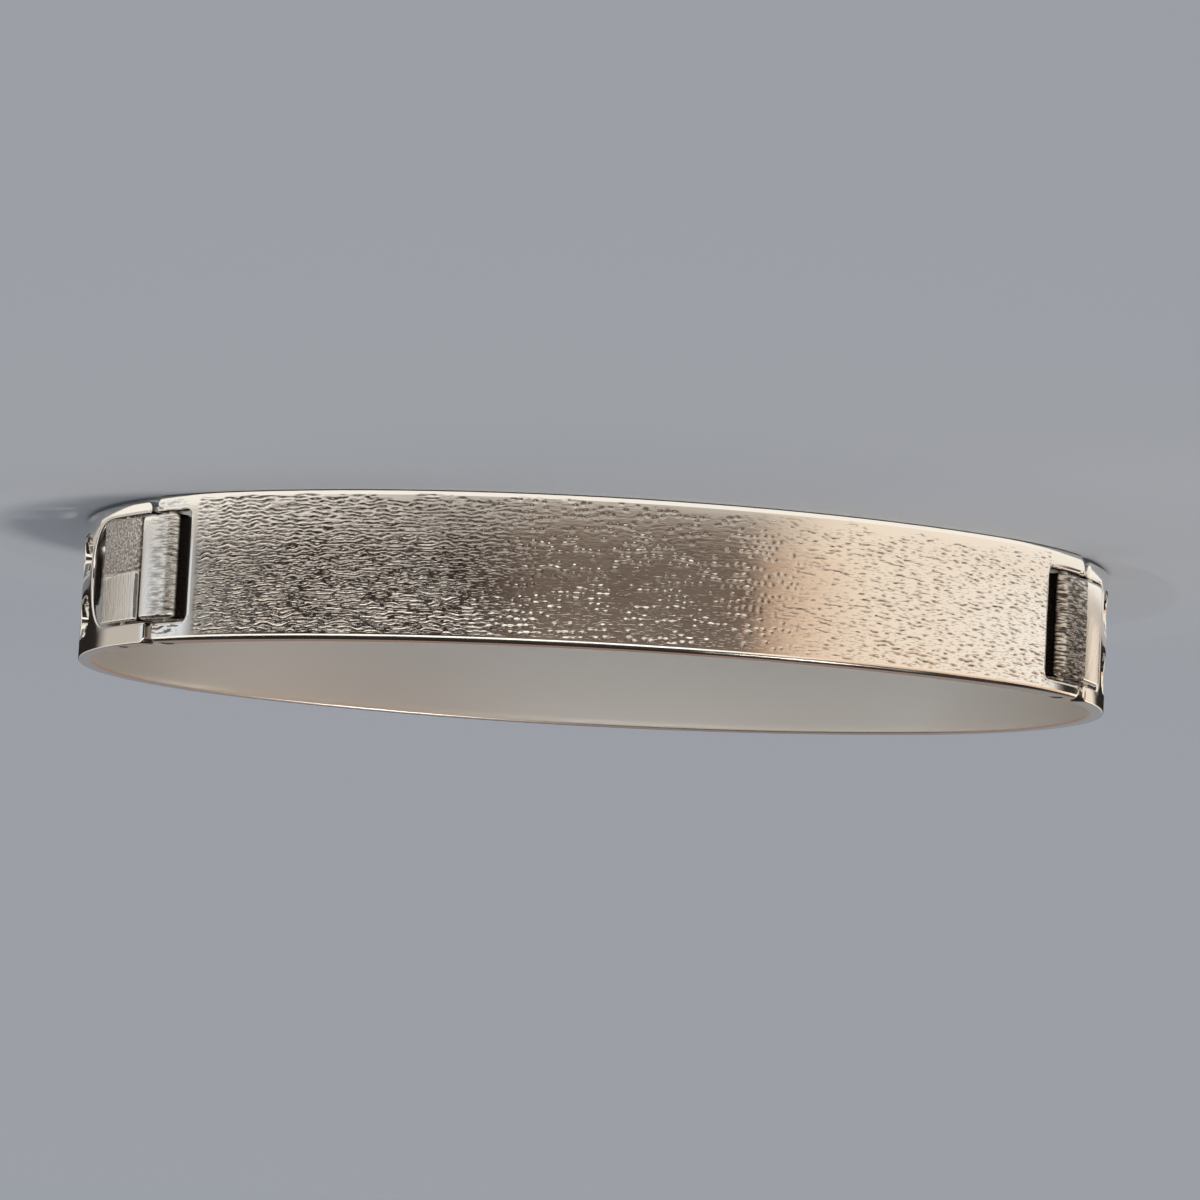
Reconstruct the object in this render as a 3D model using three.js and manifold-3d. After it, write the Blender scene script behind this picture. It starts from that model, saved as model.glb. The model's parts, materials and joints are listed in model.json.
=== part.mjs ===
// A hinged identity bangle in silver. Millimetres, +Z up.
//
// The bangle lies on its side, so the wrist goes through along Z and the name plate faces -Y. A plain
// link joins the plate to the band on the -X side, and the clasp joins them on the +X side. The origin
// is under the middle of the bangle, on the surface that it lies on.
//
// Places on the bangle are measured as a maker measures them: a run is a length along the outside of
// the ring, from the middle of the front towards the clasp (+) or towards the hinge link (-), and a
// depth is how far under the outside surface a point lies.

import * as THREE from "three";
import { mergeVertices } from "three/addons/utils/BufferGeometryUtils.js";
import Module from "manifold-3d";

const wasm = await Module();
wasm.setup();

// The ring is an oval of four arcs: a flat one in front and behind, and a tighter one at each side.
const ringHalfWidth = 32.5;
const ringHalfDepth = 26;
const flatArcRadius = 39;
const sideArcRadius =
  (ringHalfWidth ** 2 + ringHalfDepth ** 2 - 2 * flatArcRadius * ringHalfDepth) /
  (2 * (ringHalfWidth - flatArcRadius));
const flatArcAngle = Math.atan2(ringHalfWidth - sideArcRadius, flatArcRadius - ringHalfDepth);
const flatArcRun = flatArcRadius * flatArcAngle;
const sideArcRun = sideArcRadius * (Math.PI - 2 * flatArcAngle);
const halfRingRun = 2 * flatArcRun + sideArcRun;

// Name plate. Its long edges stand at 0 and plateWidth.
const plateWidth = 9;
const plateThickness = 1.5;
const plateClaspEnd = 31.2;
const plateHingeEnd = -34.9;
const plateClaspNotch = 28;
const plateHingeNotch = -30.1;
const plateClaspCorner = 0.5;
const plateHingeCorner = 0.9;
const plateNotchCorner = 0.4;

// Band round the back of the wrist. It is thinner than the plate and a little narrower.
const bandLow = 0.25;
const bandHigh = plateWidth;
const bandThickness = 1;
const bandClaspEnd = 31.75;
const bandHingeEnd = -35.4;
const bandClaspNotch = 40;
const bandHingeNotch = -38.8;
const bandClaspNotchRounding = 2.3;
const bandHingeNotchCorner = 0.6;
const bandEarCorner = 0.35;

// Oval piercings, one pair near each end of the band.
const piercingLength = 4.8;
const piercingWidth = 2.5;
const piercingSpacing = 3.9;
const piercingRuns = [42.9, -42.1];

// The notches and the bars that lie in them.
const notchWidth = 6.7;
const barWidth = 6.4;
const claspMiddle = plateWidth / 2 - 0.15;
const hingeMiddle = plateWidth / 2 + 0.15;
const bars = {
  hinge_link: { from: -38.1, to: -31.2, proud: 0.25, rounding: 0.6, middle: hingeMiddle },
  clasp_knuckle: { from: 29, to: 32.4, proud: 0.3, rounding: 0.65, middle: claspMiddle },
  clasp_block: { from: 32.72, to: 37.4, proud: 0.15, rounding: 0.5, middle: claspMiddle },
};

// Hinge wires, each with its length along Z, and the play around them.
const pins = {
  plate_hinge_pin: { run: -32.8, depth: 0.75, radius: 0.4, low: 0.05, high: plateWidth - 0.05 },
  plate_clasp_pin: { run: 30.2, depth: 0.75, radius: 0.4, low: 0.05, high: plateWidth - 0.05 },
  band_hinge_pin: { run: -36.8, depth: 0.5, radius: 0.3, low: bandLow + 0.05, high: bandHigh - 0.05 },
  band_clasp_pin: { run: 34.9, depth: 0.5, radius: 0.3, low: bandLow + 0.05, high: bandHigh - 0.05 },
};
const earPlay = 0.05;
const barPlay = 0.1;

// Fineness of the facets.
const runStep = 1;
const cornerSteps = 4;
const pinSides = 16;
const holeSides = 24;
const cutterReach = 4;

const silver = (color, roughness) => new THREE.MeshStandardMaterial({ color, roughness, metalness: 1 });
const wornSilver = silver("#c8c3bd", 0.34);
const polishedSilver = silver("#cfd2d4", 0.12);
const mattSilver = silver("#b3aca6", 0.5);
const barSilver = silver("#d2d4d6", 0.2);
const wireSilver = silver("#a8a39c", 0.35);

// The point at a run and depth, and the way the ring heads there, as a turn from +X. A run past the
// middle of the back comes round on the hinge side.
function place(run, depth) {
  const wrappedRun = run > halfRingRun ? run - 2 * halfRingRun : run;
  const side = wrappedRun < 0 ? -1 : 1;
  const length = Math.abs(wrappedRun);
  let centre = [0, flatArcRadius - ringHalfDepth];
  let radius = flatArcRadius;
  let angle = length / flatArcRadius;
  if (length > flatArcRun + sideArcRun) {
    centre = [0, ringHalfDepth - flatArcRadius];
    angle = Math.PI - (halfRingRun - length) / flatArcRadius;
  } else if (length > flatArcRun) {
    centre = [ringHalfWidth - sideArcRadius, 0];
    radius = sideArcRadius;
    angle = flatArcAngle + (length - flatArcRun) / sideArcRadius;
  }
  const reach = radius - depth;
  const x = side * (centre[0] + reach * Math.sin(angle));
  const y = centre[1] - reach * Math.cos(angle);
  return { x, y, heading: side * angle };
}

// A closed mesh as a solid that can be cut.
function solid(geometry) {
  geometry.deleteAttribute("normal");
  geometry.deleteAttribute("uv");
  const merged = mergeVertices(geometry, 1e-5);
  const vertProperties = new Float32Array(merged.attributes.position.array);
  const triVerts = new Uint32Array(merged.index.array);
  return new wasm.Manifold(new wasm.Mesh({ numProp: 3, vertProperties, triVerts }));
}

// A solid as a named mesh of the scene.
function piece(name, body, material) {
  const { vertProperties, triVerts } = body.getMesh();
  const geometry = new THREE.BufferGeometry();
  geometry.setAttribute("position", new THREE.BufferAttribute(new Float32Array(vertProperties), 3));
  geometry.setIndex(new THREE.BufferAttribute(new Uint32Array(triVerts), 1));
  geometry.computeVertexNormals();
  const mesh = new THREE.Mesh(geometry, material);
  mesh.name = name;
  return mesh;
}

// The two rounded corners of a strip's end, as [run, depth] pairs from its outside to its inside.
function stripEnd(end, side, outside, inside, rounding) {
  const corner = (depth, startAngle) => {
    const pairs = [];
    for (let step = 0; step <= cornerSteps; step += 1) {
      const angle = startAngle + (step / cornerSteps) * (Math.PI / 2);
      pairs.push([end + side * rounding * (Math.sin(angle) - 1), depth - rounding * Math.cos(angle)]);
    }
    return pairs;
  };
  return [...corner(outside + rounding, 0), ...corner(inside - rounding, Math.PI / 2)];
}

// A wall that follows the ring between two runs, with its ends' corners rounded, extruded along Z.
function strip({ from, to, outside, inside, rounding, low, high }) {
  const firstRun = from + rounding;
  const lastRun = to - rounding;
  const steps = Math.ceil((lastRun - firstRun) / runStep);
  const runs = [];
  for (let step = 1; step < steps; step += 1) {
    runs.push(firstRun + ((lastRun - firstRun) * step) / steps);
  }
  const pairs = [
    ...stripEnd(from, -1, outside, inside, rounding).reverse(),
    ...runs.map((run) => [run, outside]),
    ...stripEnd(to, 1, outside, inside, rounding),
    ...runs.reverse().map((run) => [run, inside]),
  ];
  const outline = pairs.map(([run, depth]) => {
    const { x, y } = place(run, depth);
    return new THREE.Vector2(x, y);
  });
  const geometry = new THREE.ExtrudeGeometry(new THREE.Shape(outline), {
    depth: high - low,
    bevelEnabled: false,
  });
  geometry.translate(0, 0, low);
  return solid(geometry);
}

// A flat outline, drawn along the ring (x) and up it (y), pushed straight through the wall at a run.
function cutter(run, outline) {
  const { x, y, heading } = place(run, 0);
  const along = new THREE.Vector3(Math.cos(heading), Math.sin(heading), 0);
  const up = new THREE.Vector3(0, 0, 1);
  const outward = new THREE.Vector3(Math.sin(heading), -Math.cos(heading), 0);
  const geometry = new THREE.ExtrudeGeometry(outline, { depth: 2 * cutterReach, bevelEnabled: false });
  geometry.translate(0, 0, -cutterReach);
  geometry.applyMatrix4(new THREE.Matrix4().makeBasis(along, up, outward).setPosition(x, y, 0));
  return solid(geometry);
}

// A notch that is open past a strip's end. Its inner corners are quarter ovals, which meet in a half
// oval when they are half the notch's width.
function notch(innerRun, openRun, middle, roundingAlong, roundingAcross) {
  const centreRun = (innerRun + openRun) / 2;
  const side = Math.sign(innerRun - openRun);
  const inner = Math.abs(innerRun - openRun) / 2;
  const open = -inner - 1;
  const half = notchWidth / 2;
  const corners = [];
  for (let step = 0; step <= 2 * cornerSteps; step += 1) {
    const angle = (step / (2 * cornerSteps)) * (Math.PI / 2);
    const along = inner - roundingAlong * (1 - Math.sin(angle));
    const across = half - roundingAcross * (1 - Math.cos(angle));
    corners.push([along, across]);
  }
  const lower = corners.map(([along, across]) => [along, -across]);
  const upper = corners.reverse();
  const firstUpper = roundingAcross === half ? 1 : 0;
  const outline = [[open, -half], ...lower, ...upper.slice(firstUpper), [open, half]].map(
    ([along, across]) => new THREE.Vector2(side * along, middle + across),
  );
  return cutter(centreRun, new THREE.Shape(outline));
}

// The sliver between a square corner of the plate and its rounded one.
function cornerTrim(endRun, edge, rounding) {
  const side = Math.sign(endRun);
  const rise = edge > plateWidth / 2 ? 1 : -1;
  const margin = 0.5;
  const outline = [[margin, margin], [margin, -rounding]];
  for (let step = 0; step <= cornerSteps; step += 1) {
    const angle = (step / cornerSteps) * (Math.PI / 2);
    outline.push([rounding * (Math.cos(angle) - 1), rounding * (Math.sin(angle) - 1)]);
  }
  outline.push([-rounding, margin]);
  const points = outline.map(([along, up]) => new THREE.Vector2(side * along, edge + rise * up));
  return cutter(endRun, new THREE.Shape(points));
}

// An oval piercing with round ends, lying along the band.
function piercing(run, middle) {
  const radius = piercingWidth / 2;
  const straight = piercingLength / 2 - radius;
  const outline = new THREE.Shape();
  outline.absarc(straight, middle, radius, -Math.PI / 2, Math.PI / 2);
  outline.absarc(-straight, middle, radius, Math.PI / 2, (3 * Math.PI) / 2);
  return cutter(run, new THREE.Shape(outline.getPoints(2 * cornerSteps).slice(0, -1)));
}

// A round wire or hole along Z.
function wire({ run, depth, radius, low, high }, sides) {
  const { x, y } = place(run, depth);
  const geometry = new THREE.CylinderGeometry(radius, radius, high - low, sides);
  geometry.rotateX(Math.PI / 2);
  geometry.translate(x, y, (low + high) / 2);
  return solid(geometry);
}

// The hole that a hinge wire runs in, longer than the wire so that it is open at both ends.
function wireHole(pin, play) {
  return wire({ ...pin, radius: pin.radius + play, low: pin.low - 1, high: pin.high + 1 }, holeSides);
}

function idPlate() {
  let body = strip({
    from: plateHingeEnd,
    to: plateClaspEnd,
    outside: 0,
    inside: plateThickness,
    rounding: 0.5,
    low: 0,
    high: plateWidth,
  });
  const cuts = [
    notch(plateClaspNotch, plateClaspEnd, claspMiddle, plateNotchCorner, plateNotchCorner),
    notch(plateHingeNotch, plateHingeEnd, hingeMiddle, plateNotchCorner, plateNotchCorner),
    wireHole(pins.plate_hinge_pin, earPlay),
    wireHole(pins.plate_clasp_pin, earPlay),
  ];
  for (const edge of [0, plateWidth]) {
    cuts.push(cornerTrim(plateClaspEnd, edge, plateClaspCorner));
    cuts.push(cornerTrim(plateHingeEnd, edge, plateHingeCorner));
  }
  for (const cut of cuts) {
    body = body.subtract(cut);
  }
  return body;
}

function rearBand() {
  let body = strip({
    from: bandClaspEnd,
    to: 2 * halfRingRun + bandHingeEnd,
    outside: 0,
    inside: bandThickness,
    rounding: bandEarCorner,
    low: bandLow,
    high: bandHigh,
  });
  const cuts = [
    notch(bandClaspNotch, bandClaspEnd, claspMiddle, bandClaspNotchRounding, notchWidth / 2),
    notch(bandHingeNotch, bandHingeEnd, hingeMiddle, bandHingeNotchCorner, bandHingeNotchCorner),
    wireHole(pins.band_hinge_pin, earPlay),
    wireHole(pins.band_clasp_pin, earPlay),
  ];
  for (const run of piercingRuns) {
    for (const row of [-1, 1]) {
      cuts.push(piercing(run, (bandLow + bandHigh) / 2 + (row * piercingSpacing) / 2));
    }
  }
  for (const cut of cuts) {
    body = body.subtract(cut);
  }
  return body;
}

// A bar that lies in a notch, bored for the hinge wires that it turns on.
function bar({ from, to, proud, rounding, middle }, wires) {
  let body = strip({
    from,
    to,
    outside: -proud,
    inside: plateThickness,
    rounding,
    low: middle - barWidth / 2,
    high: middle + barWidth / 2,
  });
  for (const name of wires) {
    body = body.subtract(wireHole(pins[name], barPlay));
  }
  return body;
}

const bangle = new THREE.Group();
bangle.name = "bangle";
bangle.add(piece("id_plate", idPlate(), wornSilver));
bangle.add(piece("rear_band", rearBand(), polishedSilver));
bangle.add(piece("hinge_link", bar(bars.hinge_link, ["plate_hinge_pin", "band_hinge_pin"]), barSilver));
bangle.add(piece("clasp_knuckle", bar(bars.clasp_knuckle, ["plate_clasp_pin"]), barSilver));
bangle.add(piece("clasp_block", bar(bars.clasp_block, ["band_clasp_pin"]), mattSilver));
for (const [name, pin] of Object.entries(pins)) {
  bangle.add(piece(name, wire(pin, pinSides), wireSilver));
}

export default bangle;
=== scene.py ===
# %% [markdown]
# # A hinged identity bangle in silver
#
# This lesson makes the looks of a silver bangle around its CAD model. The bangle has a stamped name
# plate in front, a polished band round the back of the wrist, a plain link between them on one side
# and a clasp on the other. Each piece is made as a silversmith makes it: a flat blank is cut out, its
# edges are softened, and it is bent round the ring.
#
# The bangle lies on its side, so the wrist goes through it along Z and the plate faces -Y.

import json
import math

import bmesh
import bpy
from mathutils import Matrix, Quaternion, Vector, noise


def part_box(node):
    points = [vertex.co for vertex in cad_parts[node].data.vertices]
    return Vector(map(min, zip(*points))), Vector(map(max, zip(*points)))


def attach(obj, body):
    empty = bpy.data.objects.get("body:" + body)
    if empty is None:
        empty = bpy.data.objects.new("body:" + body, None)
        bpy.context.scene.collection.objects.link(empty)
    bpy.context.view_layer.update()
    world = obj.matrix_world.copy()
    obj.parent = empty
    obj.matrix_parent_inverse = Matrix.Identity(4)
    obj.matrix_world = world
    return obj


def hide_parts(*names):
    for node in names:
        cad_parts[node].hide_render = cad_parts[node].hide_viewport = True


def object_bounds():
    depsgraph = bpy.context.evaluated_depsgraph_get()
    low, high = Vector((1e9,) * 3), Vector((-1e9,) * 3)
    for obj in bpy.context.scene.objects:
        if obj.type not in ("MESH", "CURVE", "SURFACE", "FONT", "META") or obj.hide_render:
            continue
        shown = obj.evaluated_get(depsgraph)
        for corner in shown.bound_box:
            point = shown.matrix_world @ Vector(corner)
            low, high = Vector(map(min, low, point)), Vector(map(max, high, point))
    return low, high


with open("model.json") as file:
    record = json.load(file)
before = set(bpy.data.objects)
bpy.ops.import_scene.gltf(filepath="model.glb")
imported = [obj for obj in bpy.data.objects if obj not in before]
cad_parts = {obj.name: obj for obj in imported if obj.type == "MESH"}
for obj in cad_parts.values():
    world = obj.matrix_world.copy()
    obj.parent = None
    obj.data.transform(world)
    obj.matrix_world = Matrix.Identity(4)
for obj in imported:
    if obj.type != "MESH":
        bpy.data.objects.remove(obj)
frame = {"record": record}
cad_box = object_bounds()
print("CAD box, mm:", [[round(c * 1000, 2) for c in corner] for corner in cad_box])

# %% [markdown]
# ## The ring that everything is bent round
#
# Seen along Z, the outside of the bangle is an oval of four arcs: a flat arc in front and behind, and
# a tighter one at each side. Such an oval could be an ellipse, but arcs keep lengths simple. A run is
# a length along the outside from the middle of the front, positive towards the clasp and negative
# towards the link, and a depth is how far under the outside surface a point lies. A blank is drawn
# flat, with its run along X, its depth along Y and its height along Z, and then each of its points is
# moved to its place on the ring.

# %% Measures of the ring
# A hair is the distance below which two points count as one.
mm = 0.001
hair = 0.001 * mm
ring_half_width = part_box("rear_band")[1].x
ring_half_depth = -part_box("id_plate")[0].y
flat_arc_radius = 39 * mm
side_arc_radius = (
    ring_half_width**2 + ring_half_depth**2 - 2 * flat_arc_radius * ring_half_depth
) / (2 * (ring_half_width - flat_arc_radius))
flat_arc_angle = math.atan2(ring_half_width - side_arc_radius, flat_arc_radius - ring_half_depth)
flat_arc_run = flat_arc_radius * flat_arc_angle
half_ring_run = 2 * flat_arc_run + side_arc_radius * (math.pi - 2 * flat_arc_angle)
print("side arc radius, mm:", round(side_arc_radius / mm, 2))
print("length round the ring, mm:", round(2 * half_ring_run / mm, 1))


# %% Where a point of a blank lands on the ring
def place(run, depth):
    """A run past the middle of the back comes round on the link's side."""
    wrapped = run - 2 * half_ring_run if run > half_ring_run else run
    side = math.copysign(1, wrapped)
    length = abs(wrapped)
    centre_x, centre_y = 0, flat_arc_radius - ring_half_depth
    radius = flat_arc_radius
    angle = length / flat_arc_radius
    if length > half_ring_run - flat_arc_run:
        centre_y = ring_half_depth - flat_arc_radius
        angle = math.pi - (half_ring_run - length) / flat_arc_radius
    elif length > flat_arc_run:
        centre_x, centre_y = ring_half_width - side_arc_radius, 0
        radius = side_arc_radius
        angle = flat_arc_angle + (length - flat_arc_run) / side_arc_radius
    reach = radius - depth
    return side * (centre_x + reach * math.sin(angle)), centre_y - reach * math.cos(angle)


print("half way round, mm:", [round(c / mm, 2) for c in place(half_ring_run, 0)])

# %% [markdown]
# ## Working a blank
#
# A blank could be cut from a box with booleans, but an outline with its corners bevelled round and
# then extruded gives clean faces and true arcs, and it is how sheet metal is really cut. The rims are
# bevelled next, because no worn silver edge is sharp. Round holes for the hinge wires run the other
# way through the sheet, so those are drilled with a boolean. Last, the blank is sliced finely enough
# to follow the ring, and bent. A small sample blank goes through the steps first.

# %% Cut an outline and give it its thickness
corner_steps = 8


def add_outline(blank, corners, depth):
    """A flat face. Each corner is (run, height, radius of its rounding)."""
    points = [blank.verts.new((run, depth, height)) for run, height, rounding in corners]
    blank.faces.new(points)
    for point, (*_, rounding) in zip(points, corners):
        if rounding:
            bmesh.ops.bevel(
                blank, geom=[point], offset=rounding, segments=corner_steps, profile=0.5, affect="VERTICES"
            )
    bmesh.ops.remove_doubles(blank, verts=blank.verts, dist=hair)


def thicken(blank, thickness):
    """Extrudes the outline inwards to a closed sheet."""
    front = list(blank.faces)
    extruded = bmesh.ops.extrude_face_region(blank, geom=front, use_keep_orig=True)
    moved = [part for part in extruded["geom"] if isinstance(part, bmesh.types.BMVert)]
    bmesh.ops.translate(blank, verts=moved, vec=(0, thickness, 0))
    bmesh.ops.recalc_face_normals(blank, faces=blank.faces)


def oblong(start, stop, low, high, rounding):
    """The corners of a plain oblong blank."""
    corners = [(start, low), (stop, low), (stop, high), (start, high)]
    return [(*corner, rounding) for corner in corners]


sample = bmesh.new()
add_outline(sample, oblong(0, 9 * mm, 0, 5 * mm, rounding=1 * mm), 0)
thicken(sample, 1 * mm)
print("sample faces, cut out:", len(sample.faces))

# %% Soften edges
sharp_angle = math.radians(45)


def rim(blank, depth):
    """The edges round the outline on the face at this depth."""
    return [
        edge
        for edge in blank.edges
        if all(abs(point.co.y - depth) < hair for point in edge.verts)
        and edge.calc_face_angle(0) > sharp_angle
    ]


def soften(blank, edges, radius, steps=4):
    bmesh.ops.bevel(blank, geom=edges, offset=radius, segments=steps, profile=0.5, affect="EDGES")


soften(sample, rim(sample, 0), 0.1 * mm)
print("sample faces, softened:", len(sample.faces))

# %% Drill holes for the hinge wires
round_sides = 32


def as_object(name, blank):
    mesh = bpy.data.meshes.new(name)
    blank.to_mesh(mesh)
    made = bpy.data.objects.new(name, mesh)
    bpy.context.scene.collection.objects.link(made)
    return made


def take_away(blank, tools):
    """Takes each tool's solid away from the blank with a boolean."""
    sheet = as_object("sheet", blank)
    for tool in tools:
        cut = sheet.modifiers.new("cut", "BOOLEAN")
        cut.operation = "DIFFERENCE"
        cut.solver = "EXACT"
        cut.object = tool
    bpy.context.view_layer.update()
    cut_sheet = sheet.evaluated_get(bpy.context.evaluated_depsgraph_get())
    blank.clear()
    blank.from_mesh(cut_sheet.to_mesh())
    cut_sheet.to_mesh_clear()
    for used in [sheet, *tools]:
        bpy.data.meshes.remove(used.data)


def round_bar(radius, length):
    """A round bar along the height, with its middle at the origin."""
    bar = bmesh.new()
    bmesh.ops.create_cone(
        bar, cap_ends=True, segments=round_sides, radius1=radius, radius2=radius, depth=length
    )
    return bar


def drill_bit(run, depth, radius):
    bit = round_bar(radius, 4 * cad_box[1].z)
    bmesh.ops.translate(bit, verts=bit.verts, vec=(run, depth, 0))
    made = as_object("drill", bit)
    bit.free()
    return made


def drill(blank, holes):
    """Each hole is (run, depth, radius) and goes right through along the height."""
    take_away(blank, [drill_bit(*hole) for hole in holes])


drill(sample, [(2 * mm, 0.5 * mm, 0.3 * mm)])
print("sample faces, drilled:", len(sample.faces))

# %% Slice faces across, so that they can bend
along_run = Vector((1, 0, 0))
up_height = Vector((0, 0, 1))


def evenly(start, stop, step):
    """Places between start and stop, about a step apart."""
    count = max(1, round((stop - start) / step))
    return [start + (stop - start) * i / count for i in range(1, count)]


def slice_across(blank, faces, axis, places):
    """Cuts these faces at each place along an axis. What is behind a cut is finished with."""
    ahead = list(faces)
    for cut_at in places:
        parts = set(ahead)
        for face in ahead:
            parts.update(face.edges)
            parts.update(face.verts)
        cut = bmesh.ops.bisect_plane(
            blank, geom=list(parts), dist=hair, plane_co=axis * cut_at, plane_no=axis
        )
        ahead = [
            part
            for part in cut["geom"]
            if isinstance(part, bmesh.types.BMFace)
            and part.calc_center_median().dot(axis) > cut_at
        ]


slice_across(sample, sample.faces, along_run, evenly(0, 9 * mm, 1 * mm))
print("sample faces, sliced:", len(sample.faces))


# %% Take out what a boolean leaves
def faces_at(blank, depth):
    return [face for face in blank.faces if all(abs(p.co.y - depth) < hair for p in face.verts)]


def merge_flat(blank, depth, start=-math.inf, stop=math.inf):
    """A boolean leaves stray edges across a flat face, which would show as creases once bent."""
    pieces = [face for face in faces_at(blank, depth) if start < face.calc_center_bounds().x < stop]
    if len(pieces) > 1:
        bmesh.ops.dissolve_faces(blank, faces=pieces)


merge_flat(sample, 1 * mm)
print("sample faces, merged behind:", len(sample.faces))
sample.free()


# %% Bend a blank round the ring and make it a piece
def bend(blank):
    """Each point keeps its flat place in an attribute, which the materials follow."""
    flat_place = blank.verts.layers.float_vector.new("flat_place")
    for point in blank.verts:
        point[flat_place] = point.co
        x, y = place(point.co.x, point.co.y)
        point.co = (x, y, point.co.z)


def finish_piece(name, blank, material, node):
    """A finished object that stands for a CAD node, moves with it and takes a slot's finish."""
    bmesh.ops.recalc_face_normals(blank, faces=blank.faces)
    for face in blank.faces:
        face.smooth = True
    piece = as_object(name, blank)
    blank.free()
    piece.data.materials.append(material)
    smoothing = piece.modifiers.new("flat faces stay flat", "WEIGHTED_NORMAL")
    smoothing.mode = "FACE_AREA_WITH_ANGLE"
    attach(piece, body_of[node])
    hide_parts(node)
    size = [round(side / mm, 2) for side in piece.dimensions]
    print(name, "size, mm:", size, "faces:", len(piece.data.polygons))


body_of = {node: body for body, nodes in frame["record"]["behaviour"]["bodies"].items() for node in nodes}
print("bodies:", body_of)

# %% [markdown]
# ## Materials
#
# Everything here is sterling silver, an alloy with a little copper. Its colour is almost white and
# slightly warm, and all the difference between the pieces comes from how each surface was worked and
# worn. So each material starts from the same metal, with a metallic of 1, and differs in its roughness,
# its tarnish and its fine marks. The patterns follow the flat place that each point had on its blank,
# so that a scratch runs round the ring with the metal.

# %% Colours and nodes
silver_white = "#f4f1eb"
# Brown for tarnish in the plate's strokes, and for painted shade round its punch marks.
tarnish_and_shade_brown = "#503e35"
# Grey for tarnish in the bars' marks, and for the painted shade of a bar's marked half.
tarnish_and_shade_grey = "#48433f"
# Grey for painted shade in the catch block's pits.
pit_shade_grey = "#8a827b"
wire_white = "#d5cfc7"
# Painted shade in the gaps between the pieces, with tarnish.
gap_shade_black = "#2b2623"


def colour(hex_code):
    """An sRGB hex value as the linear colour that the shader wants."""
    parts = [int(hex_code[i : i + 2], 16) / 255 for i in (1, 3, 5)]
    linear = [c / 12.92 if c <= 0.04045 else ((c + 0.055) / 1.055) ** 2.4 for c in parts]
    return (*linear, 1)


def set_inputs(tree, node, inputs):
    """Each input is a value, or a node or one of its outputs to link."""
    for socket, value in inputs.items():
        if isinstance(value, bpy.types.Node):
            value = value.outputs[0]
        if isinstance(value, bpy.types.NodeSocket):
            tree.links.new(value, node.inputs[socket])
        else:
            node.inputs[socket].default_value = value


def add_node(tree, kind, settings, inputs):
    node = tree.nodes.new("ShaderNode" + kind)
    for setting, value in settings.items():
        setattr(node, setting, value)
    set_inputs(tree, node, inputs)
    return node


print("silver, linear:", [round(part, 3) for part in colour(silver_white)])

# %% Start a silver
# Settings that several nodes share.
multiply = {"operation": "MULTIPLY"}
multiply_add = {"operation": "MULTIPLY_ADD"}
smoothly = {"interpolation_type": "SMOOTHSTEP"}
on_blank = {"attribute_name": "flat_place"}
# A Mix node repeats its sockets' names for each type of data, so its colours go by number: 6 and 7
# in, and 2 out, with the share of the second in 0.
of_colours = {"data_type": "RGBA"}


def start_silver(name):
    """A new metal: its material, its node tree and its shader."""
    material = bpy.data.materials.new(name)
    material.use_nodes = True
    tree = material.node_tree
    shader = tree.nodes["Principled BSDF"]
    set_inputs(tree, shader, {"Metallic": 1, "Base Color": colour(silver_white)})
    return material, tree, shader


def drawn_out(tree, flat, sizes, turn=0, detail=2):
    """A pattern with grains as long, deep and high as these sizes, turned in the sheet."""
    sized = add_node(
        tree,
        "Mapping",
        {"vector_type": "TEXTURE"},
        {"Vector": flat, "Rotation": (0, turn, 0), "Scale": sizes},
    )
    return add_node(tree, "TexNoise", {}, {"Vector": sized, "Scale": 1, "Detail": detail})


# %% [markdown]
# ### The stamped plate
#
# The plate was stamped with a fine bark grain, like short strokes of a liner along its length, and
# then worn. The ground between the strokes has been rubbed bright, and the strokes keep a frosted,
# slightly brown bottom. A darker ring round each punch mark is painted shade. The strokes themselves
# are cut into the mesh, and each point keeps how frosted it is, and how darkened by tarnish and
# painted shade, in attributes. Between them the material adds dashes that are too fine to cut.

# %% Stamped silver
cloud_size = 3.5 * mm
scratch_length = 2.5 * mm
# Wear scratches are about 0.01 mm wide. Too fine to show, so they are drawn wider.
scratch_width = 0.06 * mm
scratch_depth = 0.003 * mm
dash_length = 0.55 * mm
dash_width = 0.075 * mm
# The clouds of wear go from rubbed to dull, and so does the roughness.
wear = {"From Min": 0.35, "From Max": 0.65, "To Min": 0.11, "To Max": 0.19}
frost_roughness = 0.27
dash_stain, dash_relief = 0.4, -2.5


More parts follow.
